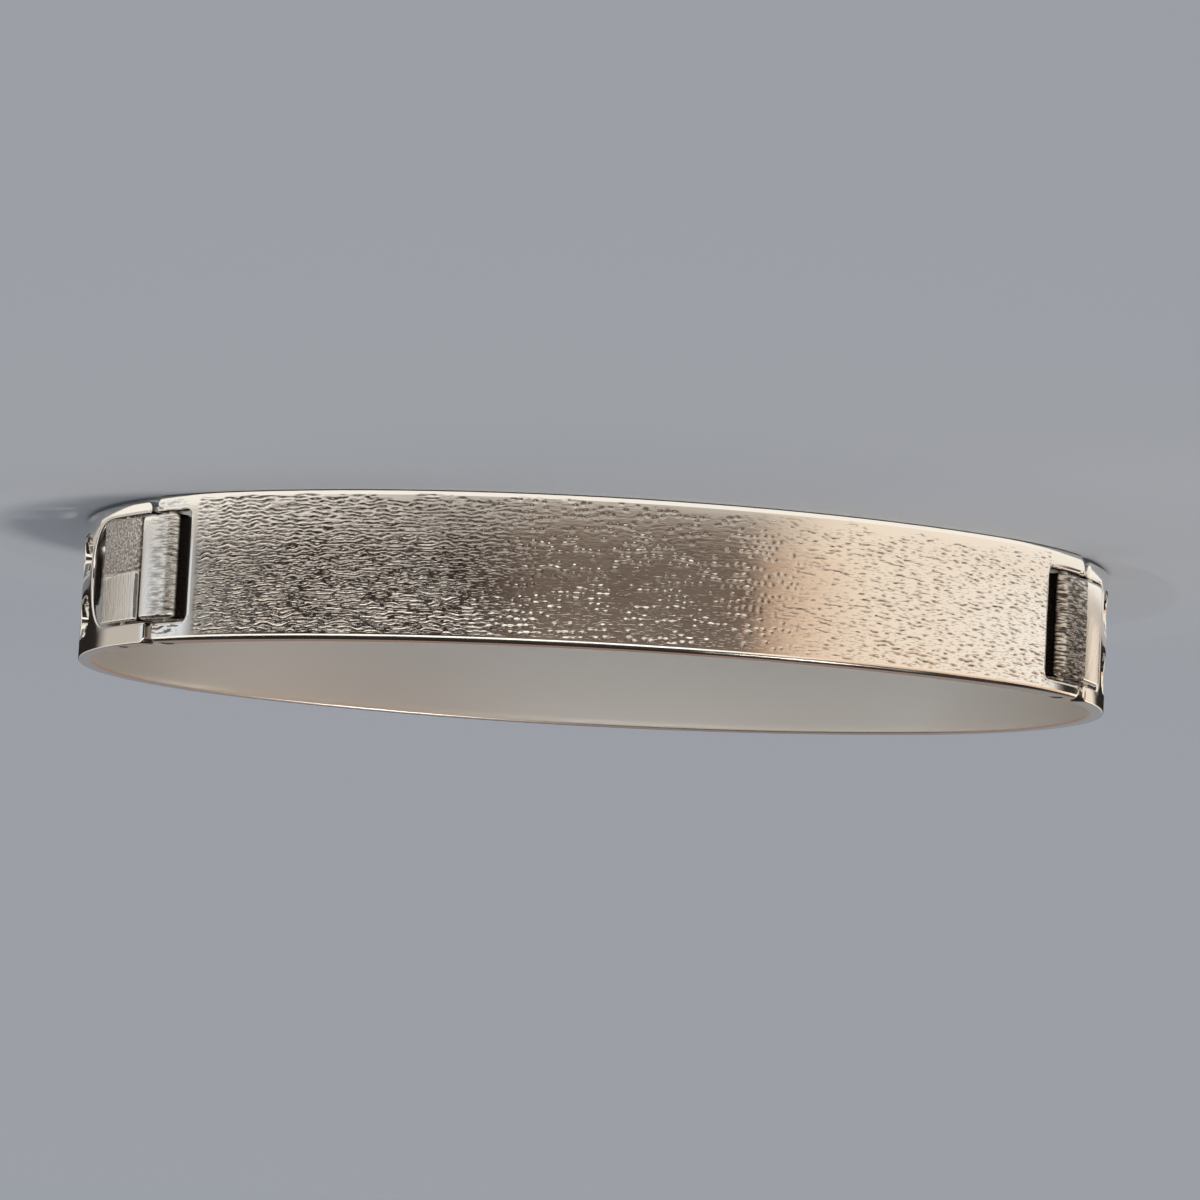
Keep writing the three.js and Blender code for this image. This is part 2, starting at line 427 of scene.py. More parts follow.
def stamped_silver():
    """The eye sees a bright worn ground, dull brown strokes in it, and painted shade round punch marks."""
    material, tree, shader = start_silver("stamped_silver")
    flat = add_node(tree, "Attribute", on_blank, {}).outputs["Vector"]
    frost, stain_and_shade, dashed = (
        add_node(tree, "Attribute", {"attribute_name": name}, {}).outputs["Fac"]
        for name in ("frost", "stain_and_shade", "dashed")
    )
    clouds = drawn_out(tree, flat, (cloud_size, cloud_size, cloud_size), detail=4)
    scratches = drawn_out(tree, flat, (scratch_length, mm, scratch_width))
    dashes = drawn_out(tree, flat, (dash_length, mm, dash_width), detail=1)
    cut = add_node(tree, "MapRange", {}, {"Value": dashes, "From Min": 0.56, "From Max": 0.66})
    dash = add_node(tree, "Math", multiply, {0: cut, 1: dashed})
    browned = add_node(
        tree, "Math", {"operation": "MULTIPLY_ADD", "use_clamp": True}, {0: dash, 1: dash_stain, 2: stain_and_shade}
    )
    tint = add_node(
        tree, "Mix", of_colours, {0: browned, 6: colour(silver_white), 7: colour(tarnish_and_shade_brown)}
    )
    worn = add_node(tree, "MapRange", {}, {"Value": clouds, **wear})
    dull = add_node(tree, "Math", multiply_add, {0: frost, 1: frost_roughness, 2: worn})
    fine = add_node(tree, "Math", multiply_add, {0: dash, 1: dash_relief, 2: scratches})
    relief = add_node(tree, "Bump", {}, {"Height": fine, "Distance": scratch_depth})
    set_inputs(tree, shader, {"Base Color": tint.outputs[2], "Roughness": dull, "Normal": relief})
    return material


# %% [markdown]
# ### Polished, worn and blasted silver
#
# The band was polished to a mirror outside and left brushed inside. The bars are polished and worn,
# and the catch block was sandblasted to a matt grain on one side of a seam and rubbed on the other.
# The hinge wires were drawn, which leaves fine lines along them.

# %% Polished silver
streak_length = 6 * mm
# Brush streaks are about 0.03 mm wide. Too fine to show, so they are drawn wider.
streak_width = 0.12 * mm
streak_depth = 0.001 * mm
streak_roughness = 0.08
# Between these depths the roughness goes from a mirror's to a brushed one.
brushing = {"From Min": 0.6 * mm, "From Max": 0.95 * mm, "To Min": 0.06, "To Max": 0.3}


def polished_silver():
    """The eye sees a clear mirror outside, and long soft streaks inside."""
    material, tree, shader = start_silver("polished_silver")
    flat = add_node(tree, "Attribute", on_blank, {}).outputs["Vector"]
    parts = add_node(tree, "SeparateXYZ", {}, {"Vector": flat})
    inside = add_node(tree, "MapRange", smoothly, {"Value": parts.outputs["Y"], **brushing})
    streaks = drawn_out(tree, flat, (streak_length, streak_width, streak_width), detail=3)
    rubbed = add_node(tree, "Math", multiply_add, {0: streaks, 1: streak_roughness, 2: inside})
    relief = add_node(tree, "Bump", {}, {"Height": streaks, "Distance": streak_depth})
    set_inputs(tree, shader, {"Roughness": rubbed, "Normal": relief})
    return material


# %% Painted shade and tarnish in the gaps
# The black begins under the front, and ends before the back.
front_gap = {"From Min": 0.06 * mm, "From Max": 0.28 * mm}
back_gap = {"From Min": 1.45 * mm, "From Max": 1.2 * mm}


def gap_shade_and_tarnish(tree, flat, tint):
    """The sides of the bars down in their gaps go black: painted shade between the pieces, and tarnish."""
    parts = add_node(tree, "SeparateXYZ", {}, {"Vector": flat})
    depth = parts.outputs["Y"]
    under_front = add_node(tree, "MapRange", {}, {"Value": depth, **front_gap})
    over_back = add_node(tree, "MapRange", {}, {"Value": depth, **back_gap})
    gap = add_node(tree, "Math", multiply, {0: under_front, 1: over_back})
    darkened = add_node(tree, "Mix", of_colours, {0: gap, 6: tint, 7: colour(gap_shade_black)})
    return darkened.outputs[2]


# %% Worn silver of the bars
mark_length = 0.8 * mm
mark_height = 0.13 * mm
brush_length = 1.6 * mm
# Brushed lines are about 0.03 mm wide. Too fine to show, so they are drawn wider.
brush_width = 0.13 * mm
brush_turn = math.radians(-55)
brush_roughness, brush_relief = 0.2, 0.5
# What is worked into the front of a bar ends between these depths, so its back stays plain.
front_only = {"From Min": 1 * mm, "From Max": 0.5 * mm}


def worn_silver(name, polish, mark_depth, half_darkening, mark_darkening, smooth_run, marked_run):
    """The eye sees brushed lines all over a bar, and rippled marks on one half of it, painted darker."""
    material, tree, shader = start_silver(name)
    flat = add_node(tree, "Attribute", on_blank, {}).outputs["Vector"]
    parts = add_node(tree, "SeparateXYZ", {}, {"Vector": flat})
    half = add_node(
        tree,
        "MapRange",
        {},
        {"Value": parts.outputs["X"], "From Min": smooth_run, "From Max": marked_run},
    )
    front = add_node(tree, "MapRange", {}, {"Value": parts.outputs["Y"], **front_only})
    marked = add_node(tree, "Math", multiply, {0: half, 1: front})
    marks = drawn_out(tree, flat, (mark_length, mm, mark_height), detail=3)
    brushed = drawn_out(tree, flat, (brush_length, mm, brush_width), turn=brush_turn)
    cut = add_node(tree, "MapRange", {}, {"Value": marks, "From Min": 0.38, "From Max": 0.64})
    pressed = add_node(tree, "Math", multiply, {0: cut, 1: marked})
    # The marked half is painted darker as a whole: a painted dark reflection.
    dull = add_node(tree, "Math", multiply, {0: marked, 1: half_darkening})
    stain_and_shade = add_node(tree, "Math", multiply_add, {0: pressed, 1: mark_darkening, 2: dull})
    tint = add_node(tree, "Mix", of_colours, {0: stain_and_shade, 6: colour(silver_white), 7: colour(tarnish_and_shade_grey)})
    rubbed = add_node(tree, "Math", multiply_add, {0: brushed, 1: brush_roughness, 2: polish})
    height = add_node(tree, "Math", multiply_add, {0: brushed, 1: brush_relief, 2: pressed})
    relief = add_node(tree, "Bump", {}, {"Height": height, "Distance": -mark_depth})
    set_inputs(
        tree,
        shader,
        {"Base Color": gap_shade_and_tarnish(tree, flat, tint.outputs[2]), "Roughness": rubbed, "Normal": relief},
    )
    return material


# %% Sandblasted silver
# Blasting leaves pits about 0.05 mm across, and rubbing leaves thinner lines. Both are too fine to
# show, so they are drawn wider.
grit_size = 0.17 * mm
rub_length = 0.14 * mm
rub_height = 0.9 * mm
grit_depth = 0.08 * mm
rub_relief = -0.5
seam_blur = 0.1 * mm


def blasted_silver(seam_height):
    """The eye sees coarse sparkling grit on one side of the seam, and soft rubbed lines beyond it."""
    material, tree, shader = start_silver("blasted_silver")
    flat = add_node(tree, "Attribute", on_blank, {}).outputs["Vector"]
    parts = add_node(tree, "SeparateXYZ", {}, {"Vector": flat})
    below_seam = add_node(
        tree,
        "MapRange",
        {},
        {
            "Value": parts.outputs["Z"],
            "From Min": seam_height + seam_blur,
            "From Max": seam_height - seam_blur,
        },
    )
    front = add_node(tree, "MapRange", {}, {"Value": parts.outputs["Y"], **front_only})
    coarse = add_node(tree, "Math", multiply, {0: below_seam, 1: front})
    grit = drawn_out(tree, flat, (grit_size, grit_size, grit_size), detail=3)
    rub = drawn_out(tree, flat, (rub_length, mm, rub_height), detail=3)
    pits = add_node(tree, "MapRange", {}, {"Value": grit, "From Min": 0.68, "From Max": 0.38})
    here = add_node(tree, "Math", multiply, {0: pits, 1: coarse})
    shade = add_node(tree, "Math", multiply_add, {0: rub, 1: rub_relief, 2: here})
    # The deeper a point, the greyer it is painted: painted shade in the pits.
    stain_and_shade = add_node(tree, "MapRange", {}, {"Value": shade, "From Min": -0.32, "From Max": 0.9})
    tint = add_node(tree, "Mix", of_colours, {0: stain_and_shade, 6: colour(silver_white), 7: colour(pit_shade_grey)})
    relief = add_node(tree, "Bump", {}, {"Height": shade, "Distance": -grit_depth})
    set_inputs(
        tree,
        shader,
        {"Base Color": gap_shade_and_tarnish(tree, flat, tint.outputs[2]), "Roughness": 0.26, "Normal": relief},
    )
    return material


# %% Drawn wire
# Drawing leaves lines about 0.01 mm wide. Too fine to show, so they are drawn wider.
draw_line_width = 0.05 * mm
draw_line_length = 3 * mm
draw_line_depth = 0.004 * mm


def drawn_wire():
    """The eye sees a soft grey end, with fine lines along the wire."""
    material, tree, shader = start_silver("drawn_wire")
    on_piece = add_node(tree, "TexCoord", {}, {})
    lines = drawn_out(
        tree, on_piece.outputs["Object"], (draw_line_width, draw_line_width, draw_line_length)
    )
    relief = add_node(tree, "Bump", {}, {"Height": lines, "Distance": draw_line_depth})
    set_inputs(tree, shader, {"Base Color": colour(wire_white), "Roughness": 0.3, "Normal": relief})
    return material


# %% [markdown]
# ## The name plate
#
# A long plate, notched at both ends to leave a pair of ears that hold a hinge wire. Its bark grain
# could be a bump in the material alone, but it catches the light like real strokes when it is cut into
# the mesh, so the front is sliced to about a tenth of a millimetre and its points are pressed in.

# %% Measures of the plate
plate_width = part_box("id_plate")[1].z
plate_thickness = 1.5 * mm
plate_clasp_end = 31.2 * mm
plate_hinge_end = -34.9 * mm
plate_clasp_notch = 28 * mm
plate_hinge_notch = -30.1 * mm
plate_clasp_corner = 0.5 * mm
plate_hinge_corner = 0.9 * mm
notch_corner = 0.4 * mm
ear_corner = 0.12 * mm
plate_rim = 0.32 * mm

notch_width = 6.7 * mm
clasp_middle = plate_width / 2 - 0.15 * mm
hinge_middle = plate_width / 2 + 0.15 * mm

# Each hinge wire's run, depth and radius.
wires = {
    "plate_hinge_pin": (-32.8 * mm, 0.75 * mm, 0.4 * mm),
    "plate_clasp_pin": (30.2 * mm, 0.75 * mm, 0.4 * mm),
    "band_hinge_pin": (-36.8 * mm, 0.5 * mm, 0.3 * mm),
    "band_clasp_pin": (34.9 * mm, 0.5 * mm, 0.3 * mm),
}
ear_play = 0.05 * mm
bar_play = 0.1 * mm


def wire_hole(name, play):
    run, depth, radius = wires[name]
    return run, depth, radius + play


print("plate length, mm:", round((plate_clasp_end - plate_hinge_end) / mm, 1))
print("plate width, mm:", round(plate_width / mm, 2))


# %% Cut the plate
def notch_corners(end, inner, middle, inner_rounding):
    """The corners of a notch that is open past an end, from its low side to its high side."""
    low, high = middle - notch_width / 2, middle + notch_width / 2
    return [
        (end, low, ear_corner),
        (inner, low, inner_rounding),
        (inner, high, inner_rounding),
        (end, high, ear_corner),
    ]


plate = bmesh.new()
add_outline(
    plate,
    [
        (plate_hinge_end, 0, plate_hinge_corner),
        (plate_clasp_end, 0, plate_clasp_corner),
        *notch_corners(plate_clasp_end, plate_clasp_notch, clasp_middle, notch_corner),
        (plate_clasp_end, plate_width, plate_clasp_corner),
        (plate_hinge_end, plate_width, plate_hinge_corner),
        *reversed(notch_corners(plate_hinge_end, plate_hinge_notch, hinge_middle, notch_corner)),
    ],
    depth=0,
)
thicken(plate, plate_thickness)
soften(plate, rim(plate, 0), plate_rim)
soften(plate, rim(plate, plate_thickness), plate_rim)
drill(plate, [wire_hole("plate_hinge_pin", ear_play), wire_hole("plate_clasp_pin", ear_play)])
print("plate blank faces:", len(plate.faces))

# %% Slice the front finely and the rest coarsely
coarse_step = 1 * mm
stroke_step_run = 0.13 * mm
stroke_step_height = 0.055 * mm
# Round marks need finer slices than strokes along the plate do.
mark_step_run = 0.08 * mm
marks_start, marks_stop = -11 * mm, 9 * mm

merge_flat(plate, 0)
merge_flat(plate, plate_thickness)
front = set(faces_at(plate, 0))
print("front before slicing:", len(front), "face")
others = [face for face in plate.faces if face not in front]
slice_across(plate, others, along_run, evenly(plate_hinge_end, plate_clasp_end, coarse_step))
slice_across(plate, faces_at(plate, 0), up_height, evenly(0, plate_width, stroke_step_height))
stroke_runs = [
    *evenly(plate_hinge_end, marks_start, stroke_step_run),
    *evenly(marks_start - mark_step_run, marks_stop + mark_step_run, mark_step_run),
    *evenly(marks_stop, plate_clasp_end, stroke_step_run),
]
slice_across(plate, faces_at(plate, 0), along_run, stroke_runs)
print("front faces:", len(faces_at(plate, 0)))

# %% [markdown]
# ### The bark grain
#
# By the clasp the grain is close wavy ridges, in the middle it is rows of round punch marks, and by
# the link it is short loose dashes. A displace modifier could press in a texture of one of them, but
# here the three run into each other. So each is a function of the run and the height that tells how
# far a point is pressed in, from 0 to 1, and they are blended. All the noise has fixed seeds.


# %% Noise and blending
def ease(low, high, value):
    """Goes smoothly from 0 at low to 1 at high."""
    t = min(1, max(0, (value - low) / (high - low)))
    return t * t * (3 - 2 * t)


def grain(run, height, length, width, seed):
    """Drawn-out noise, about -1 to 1, with marks of this length and width."""
    return 1.6 * noise.noise(Vector((run / length, height / width, seed)))


def chance(column, row, seed):
    """A fixed number from 0 to 1 for each mark."""
    return 0.5 + 0.5 * noise.cell(Vector((column + 0.5, row + 0.5, seed + 0.5)))


print("chance of the first mark:", round(chance(0, 0, 1), 2))

# %% Ridges and punch marks
ridge_kind = {"gap": 0.23 * mm, "waviness": 0.55, "length": 0.5 * mm, "seed": 1.3}
dash_kind = {"gap": 0.25 * mm, "waviness": 0.35, "length": 0.45 * mm, "seed": 8.3}
row_gap = 0.37 * mm
mark_gap = 0.46 * mm


def valleys(run, height, gap, waviness, length, seed):
    """Close wavy ridges: 1 along the bottom of each valley between them."""
    wave = waviness * gap * grain(run, height, 1.4 * length, 0.5 * mm, seed)
    wall = 0.5 + 0.5 * math.sin(2 * math.pi * (height + wave) / gap)
    broken = 0.5 + grain(run, height, length, 0.8 * gap, seed + 1)
    return ease(0.3, 0.95, wall) * min(1, max(0, broken))


def punch_marks(run, height):
    """Round marks and short dashes in wandering broken rows: 1 at the middle of each."""
    lane = (height + 0.3 * mm * grain(run, height, 3 * mm, 1.5 * mm, 3.1)) / row_gap
    row = math.floor(lane)
    along = run / mark_gap + chance(row, 0, 5)
    column = math.floor(along)
    patch = 0.55 * grain(run, height, 2.2 * mm, 0.6 * mm, 9.7)
    if chance(column, row, 1) > 0.55 + patch:
        return 0
    half_length = 0.32 + 0.3 * (chance(column, row, 2) > 0.8)
    half_width = 0.3 + 0.12 * chance(column, row, 3)
    aside = (along - column - 0.5 - 0.3 * (chance(column, row, 6) - 0.5)) / half_length
    above = (lane - row - 0.5 - 0.35 * (chance(column, row, 4) - 0.5)) / half_width
    return ease(1.1, 0.2, math.hypot(aside, above))


print("ridges at 0, 0:", round(valleys(0, 0, **ridge_kind), 2))
print("punch marks at 0, 0:", round(punch_marks(0, 0), 2))

# %% The grain over the whole plate
# Between these runs the ridges, or the dashes, take over from the punch marks.
ridges_begin = (4 * mm, 12 * mm)
dashes_begin = (-9 * mm, -12.5 * mm)
# The grain ends short of the clasp's notch and starts again on the ears.
grain_ends = (27.3 * mm, 26.9 * mm)
ear_grain_begins = (28.2 * mm, 28.7 * mm)


def bark_at(run, height):
    """How pressed in, frosted, darkened by tarnish and painted shade, and finely dashed, from 0 to 1."""
    wander = grain(run, height, 5 * mm, 1.5 * mm, 3.3) * 2 * mm
    clasp_side = ease(*ridges_begin, run + wander)
    hinge_side = ease(*dashes_begin, run + wander)
    middle = (1 - clasp_side) * (1 - hinge_side)
    ridges = valleys(run, height, **ridge_kind)
    slanted = height + 0.12 * run
    dashes = ease(0.5, 0.95, valleys(run, slanted, **dash_kind))
    marks = punch_marks(run, height)
    # A darker ring round each punch mark is painted shade.
    shaded_fringe = 4 * marks * (1 - marks)
    sunk = 0.75 + 0.3 * ease(0.6 * plate_width, 0.3 * plate_width, height)
    cut = 0.35 + 0.45 * ease(0.6 * plate_width, 0.9 * plate_width, height)
    pressed = clasp_side * ridges + middle * (sunk * marks + 0.1 * ridges) + hinge_side * cut * dashes
    frosted = clasp_side * 0.7 * ridges + middle * 0.3 * marks + hinge_side * dashes
    # The stain in the ridges is painted heavier towards the high edge.
    rising = 0.55 + 0.45 * ease(0.12 * plate_width, 0.45 * plate_width, height)
    mark_darkening = clasp_side * rising * ease(0.05, 0.6, ridges) + hinge_side * 0.8 * dashes
    mark_darkening += middle * max(0.45 * shaded_fringe, 0.16 * ridges)
    finely = 0.8 * clasp_side + 0.35 * middle + 0.9 * hinge_side
    return min(1, pressed), min(1, frosted), min(1, mark_darkening), finely


def bark_cover(run, height):
    """The stamp leaves a strip by each notch and by the low edge smooth, and thins on the ears."""
    uneven = 0.35 * mm * grain(run, height, 2 * mm, 0.8 * mm, 11.3)
    on_ear = ease(*ear_grain_begins, run) * (0.9 if height > plate_width / 2 else 0.6)
    cover = max(on_ear, ease(*grain_ends, run + 0.3 * uneven))
    cover *= ease(plate_hinge_notch - 0.9 * mm, plate_hinge_notch + 0.3 * mm, run + uneven)
    low_strip = 0.3 * mm + 0.25 * mm * ease(2 * mm, -8 * mm, run)
    cover *= ease(low_strip, low_strip + 0.3 * mm, height + uneven)
    cover *= ease(plate_width - plate_rim, plate_width - plate_rim - 0.2 * mm, height)
    return cover


print("bark at the middle:", [round(part, 2) for part in bark_at(0, plate_width / 2)])

# %% Press the bark in, bend the plate and finish it
stroke_depth = 0.046 * mm
# Long use leaves very shallow hollows under the grain.
hollow_depth = 0.02 * mm
hollow_length, hollow_height = 5 * mm, 2.5 * mm


def press_bark(blank):
    """Presses the front's points in, apart from those round its rim."""
    kept = {name: blank.verts.layers.float.new(name) for name in ("pressed", "frost", "stain_and_shade", "dashed")}
    for point in {p for face in faces_at(blank, 0) for p in face.verts}:
        if any(abs(p.co.y) > hair for edge in point.link_edges for p in edge.verts):
            continue
        cover = bark_cover(point.co.x, point.co.z)
        for layer, amount in zip(kept.values(), bark_at(point.co.x, point.co.z)):
            point[layer] = amount * cover
    for point in blank.verts:
        run, height = point.co.x, point.co.z
        if abs(point.co.y) < hair:
            hollow = 0.5 + 0.5 * grain(run, height, hollow_length, hollow_height, 21.3)
            hollow *= ease(plate_rim, 4 * plate_rim, min(height, plate_width - height))
            point.co.y += point[kept["pressed"]] * stroke_depth + hollow * hollow_depth
    blank.verts.layers.float.remove(kept["pressed"])


press_bark(plate)
bend(plate)
finish_piece("plate", plate, stamped_silver(), "id_plate")

# %% [markdown]
# ## The band round the back
#
# The band is thinner than the plate. Its ends are notched for the link and the catch block, and near
# each end it has a pair of oval piercings, which are punched through it. A face can't have a hole, so
# here the punches are solids that a boolean takes away, and the sheet is first cut across the middle
# of each pair, which leaves only faces without holes.

# %% Measures of the band
band_low, band_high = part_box("rear_band")[0].z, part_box("rear_band")[1].z
band_middle = (band_low + band_high) / 2
band_thickness = 1 * mm
band_clasp_end = 31.75 * mm
band_hinge_end = 2 * half_ring_run - 35.4 * mm
band_clasp_notch = 40.2 * mm
band_hinge_notch = 2 * half_ring_run - 38.8 * mm
band_hinge_notch_corner = 0.6 * mm
band_corner = 0.35 * mm
band_rim = 0.12 * mm
piercing_length = 4.8 * mm
piercing_width = 2.5 * mm
piercing_spacing = 3.9 * mm
piercing_runs = [42.9 * mm, 2 * half_ring_run - 42.1 * mm]
print("band length, mm:", round((band_hinge_end - band_clasp_end) / mm, 1))
print("piercings at, mm:", [round(run / mm, 1) for run in piercing_runs])


# %% Cut and punch the band
def punch(run, height):
    """A solid of a piercing's outline that reaches through the sheet."""
    low, high = height - piercing_width / 2, height + piercing_width / 2
    start, stop = run - piercing_length / 2, run + piercing_length / 2
    tool = bmesh.new()
    add_outline(tool, oblong(start, stop, low, high, piercing_width / 2), -band_thickness)
    thicken(tool, 3 * band_thickness)
    made = as_object("punch", tool)
    tool.free()
    return made


band = bmesh.new()
clasp_rounding = notch_width / 2
add_outline(
    band,
    [
        (band_clasp_end, band_low, band_corner),
        (band_hinge_end, band_low, band_corner),
        *notch_corners(band_hinge_end, band_hinge_notch, hinge_middle, band_hinge_notch_corner),
        (band_hinge_end, band_high, band_corner),
        (band_clasp_end, band_high, band_corner),
        *reversed(notch_corners(band_clasp_end, band_clasp_notch, clasp_middle, clasp_rounding)),
    ],
    depth=0,
)
thicken(band, band_thickness)
rows = (band_middle - piercing_spacing / 2, band_middle + piercing_spacing / 2)
slice_across(band, band.faces, along_run, piercing_runs)
take_away(band, [punch(run, height) for run in piercing_runs for height in rows])
soften(band, rim(band, 0) + rim(band, band_thickness), band_rim)
drill(band, [wire_hole("band_hinge_pin", ear_play), wire_hole("band_clasp_pin", ear_play)])
parts_of_band = [band_clasp_end, *piercing_runs, band_hinge_end]
for start, stop in zip(parts_of_band, parts_of_band[1:]):
    merge_flat(band, 0, start, stop)
    merge_flat(band, band_thickness, start, stop)
print("band blank faces:", len(band.faces), "in front:", len(faces_at(band, 0)))

# %% Slice, bend and finish the band
band_step = 0.5 * mm
slice_across(band, band.faces, up_height, evenly(band_low, band_high, band_step))
slice_across(band, band.faces, along_run, evenly(band_clasp_end, band_hinge_end, band_step))
bend(band)
finish_piece("band", band, polished_silver(), "rear_band")

# %% [markdown]
# ## The bars in the notches
#
# Three bars lie in the notches: the plain link, the clasp's knuckle and the catch block. Each is a
# short thick blank with its long edges rounded well over, bored for the wires that it turns on. A
# bevelled box could stand for a straight bar, but these follow the ring, so they are bent as well.

# %% Measures of the bars
bar_width = 6.4 * mm
bar_rim = 0.3 * mm
bar_step = 0.2 * mm
link_crease = -34.6 * mm
seam_height = clasp_middle + 0.2 * mm
seam_run = 35 * mm
seam_width = 0.06 * mm
seam_depth = 0.35 * mm
seam_slope = -0.09
print("play beside a bar, mm:", round((notch_width - bar_width) / 2 / mm, 2))


# %% Cut a bar
def make_bar(start, stop, proud, rounding, middle, holes):
    """A bar between two runs, standing proud of the ring by a little."""
    low, high = middle - bar_width / 2, middle + bar_width / 2
    bar = bmesh.new()
    add_outline(bar, oblong(start, stop, low, high, rounding=0), -proud)
    thicken(bar, proud + plate_thickness)
    upright = [edge for edge in bar.edges if abs(edge.verts[0].co.z - edge.verts[1].co.z) > hair]
    soften(bar, upright, rounding, steps=corner_steps)
    ends = [
        edge
        for edge in bar.edges
        if abs(edge.verts[0].co.z - edge.verts[1].co.z) < hair
        and edge.calc_face_angle(0) > sharp_angle
    ]
    # A small rounding has no room for a wide rim.
    soften(bar, ends, min(bar_rim, 0.6 * rounding))
    drill(bar, holes)
    merge_flat(bar, -proud)
    merge_flat(bar, plate_thickness)
    slice_across(bar, bar.faces, up_height, evenly(low, high, bar_step))
    slice_across(bar, bar.faces, along_run, evenly(start, stop, bar_step))
    return bar


# %% Make the link
link = make_bar(
    start=-38.1 * mm, stop=-31.2 * mm, proud=0.25 * mm, rounding=0.6 * mm, middle=hinge_middle,
    holes=[wire_hole("plate_hinge_pin", bar_play), wire_hole("band_hinge_pin", bar_play)],
)
bend(link)
link_silver = worn_silver(
    "rubbed_silver", polish=0.06, mark_depth=0.025 * mm, half_darkening=0.35, mark_darkening=1,
    smooth_run=link_crease - 0.1 * mm, marked_run=link_crease + 0.1 * mm,
)
finish_piece("link", link, link_silver, "hinge_link")

# %% Make the knuckle
knuckle = make_bar(
    start=29 * mm, stop=32.4 * mm, proud=0.3 * mm, rounding=0.65 * mm, middle=clasp_middle,
    holes=[wire_hole("plate_clasp_pin", bar_play)],
)
bend(knuckle)
knuckle_silver = worn_silver(
    "satin_silver", polish=0.14, mark_depth=0.02 * mm, half_darkening=0.05, mark_darkening=0.6,
    smooth_run=31.4 * mm, marked_run=30.5 * mm,
)
finish_piece("knuckle", knuckle, knuckle_silver, "clasp_knuckle")

# %% Make the catch block, with the seam between its halves
block = make_bar(
    start=32.72 * mm, stop=37.4 * mm, proud=0.15 * mm, rounding=0.28 * mm, middle=clasp_middle,
    holes=[wire_hole("band_clasp_pin", bar_play)],
)
across_seam = Vector((seam_slope, 0, 1)).normalized()
seam_at = across_seam.dot(Vector((seam_run, 0, seam_height)))
slice_across(block, block.faces, across_seam, [seam_at - seam_width, seam_at, seam_at + seam_width])
for point in block.verts:
    if abs(point.co.dot(across_seam) - seam_at) < hair and point.co.y < bar_rim:
        point.co.y += seam_depth
bend(block)
finish_piece("catch_block", block, blasted_silver(seam_height), "clasp_block")

# %% [markdown]
# ## The hinge wires
#
# Four short wires hold the pieces together. Each was cut from drawn wire, pushed through its ears and
# filed off at the edge, so only its ends show. A round bar with its rims softened is all it needs.

# %% Make the wires
wire_rim = 0.08 * mm


def make_wire(node):
    run, depth, radius = wires[node]
    low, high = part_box(node)[0].z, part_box(node)[1].z
    x, y = place(run, depth)
    wire = round_bar(radius, high - low)
    bmesh.ops.translate(wire, verts=wire.verts, vec=(x, y, (low + high) / 2))
    soften(wire, [edge for edge in wire.edges if edge.calc_face_angle(0) > 1], wire_rim)
    return wire


wire_metal = drawn_wire()
for node in wires:
    finish_piece(node.replace("pin", "wire"), make_wire(node), wire_metal, node)

# %% [markdown]
# ## The table, the light and the camera
#
# Polished silver has hardly any colour of its own: it shows the room. The table is plain and pale, and
# the light is a plain soft sky with one broad lamp. What the metal mirrors close to the table matters
# most, so a ring of card stands round the bangle, as is usual for polished silver. This card glows by
# itself, and its colours are painted reflections: bright where the plate should shine and black where
# its grain should stand out. It shows in the metal only: the camera looks through it, and it throws no
# light or shade on the table.
#
# The open plate swings out through the ring of card. So the card's walls fade where the metal is
# close to them, and a last strip on the table fades outwards. Their mirror image in the plate then
# has no hard end.

# %% The table
table_size = 60
table_grey = "#a3a7ae"


def stage_object(name, mesh_work, material):
    """A thing of the stage, not of the bangle."""
    made = as_object(name, mesh_work)
    mesh_work.free()
    made.data.materials.append(material)
    return made


def matt_table():
    material = bpy.data.materials.new("matt_table")
    material.use_nodes = True
    tree = material.node_tree
    dull = {"Base Color": colour(table_grey), "Roughness": 0.9, "Specular IOR Level": 0.1}
    set_inputs(tree, tree.nodes["Principled BSDF"], dull)
    return material


table = bmesh.new()
bmesh.ops.create_grid(table, x_segments=1, y_segments=1, size=table_size / 2)
stage_object("table", table, matt_table())
print("table, m:", table_size)

# %% The sky
sky_horizon = "#9b9fa6"
sky_top = "#c9ccd0"


def soft_sky():
    sky = bpy.data.worlds.new("soft_sky")
    sky.use_nodes = True
    tree = sky.node_tree
    direction = add_node(tree, "TexCoord", {}, {})
    parts = add_node(tree, "SeparateXYZ", {}, {"Vector": direction.outputs["Generated"]})
    rise = add_node(
        tree, "MapRange", smoothly, {"Value": parts.outputs["Z"], "From Min": 0, "From Max": 0.6}
    )
    shade = add_node(tree, "Mix", of_colours, {0: rise, 6: colour(sky_horizon), 7: colour(sky_top)})
    set_inputs(tree, tree.nodes["Background"], {"Color": shade.outputs[2]})
    return sky


bpy.context.scene.world = soft_sky()
print("sky from", sky_horizon, "to", sky_top)

# %% The lamp
lamp_strength = 1.3
lamp_spread = math.radians(14)
lamp_warm = "#fff6ea"
lamp_direction = Vector((0.5, 0.35, -0.8))

lamp = bpy.data.lights.new("lamp", "SUN")
lamp.energy = lamp_strength
lamp.angle = lamp_spread
lamp.color = colour(lamp_warm)[:3]
lamp_object = bpy.data.objects.new("lamp", lamp)
bpy.context.scene.collection.objects.link(lamp_object)
lamp_object.rotation_mode = "QUATERNION"
lamp_object.rotation_quaternion = lamp_direction.to_track_quat("-Z", "Y")
print("lamp strength:", lamp_strength)

